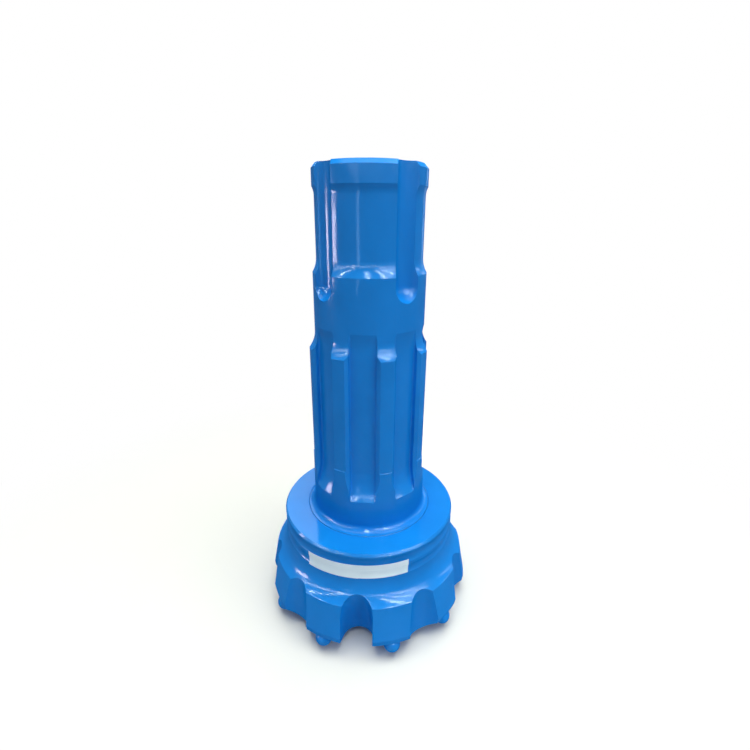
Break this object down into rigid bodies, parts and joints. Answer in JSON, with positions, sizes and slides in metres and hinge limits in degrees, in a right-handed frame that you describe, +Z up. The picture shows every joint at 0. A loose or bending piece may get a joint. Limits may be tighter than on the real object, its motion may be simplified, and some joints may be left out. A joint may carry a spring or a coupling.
{
  "type": "rock drill bit",
  "caption": "Down-the-hole hammer bit: fluted steel head with domed buttons, ringed flange and a splined shank with a central air bore.",
  "frame": {"origin": "on the axis, in the plane of the front buttons' tips on which the bit stands", "axes": "+Z up along the axis from the face to the tail of the shank; -Y through the middle of the front deep gully, with the label across it; +X to the right seen from the front"},
  "size_m": [0.216, 0.2118, 0.436],
  "materials": {
    "body_enamel": "semi-gloss blue enamel over machined steel",
    "button_enamel": "semi-gloss blue enamel over hard-metal buttons",
    "label_paper": "bare matt paper sticker"
  },
  "bodies": {
    "root": {"bit_body": "body_enamel", "gauge_button_1": "button_enamel", "gauge_button_2": "button_enamel", "gauge_button_3": "button_enamel", "gauge_button_4": "button_enamel", "gauge_button_5": "button_enamel", "gauge_button_6": "button_enamel", "gauge_button_7": "button_enamel", "gauge_button_8": "button_enamel", "gauge_button_9": "button_enamel", "gauge_button_10": "button_enamel", "front_button_1": "button_enamel", "front_button_2": "button_enamel", "front_button_3": "button_enamel", "front_button_4": "button_enamel", "front_button_5": "button_enamel", "front_button_6": "button_enamel", "front_button_7": "button_enamel", "front_button_8": "button_enamel", "front_button_9": "button_enamel", "front_button_10": "button_enamel", "front_button_11": "button_enamel", "front_button_12": "button_enamel", "label": "label_paper"}
  },
  "joints": []
}
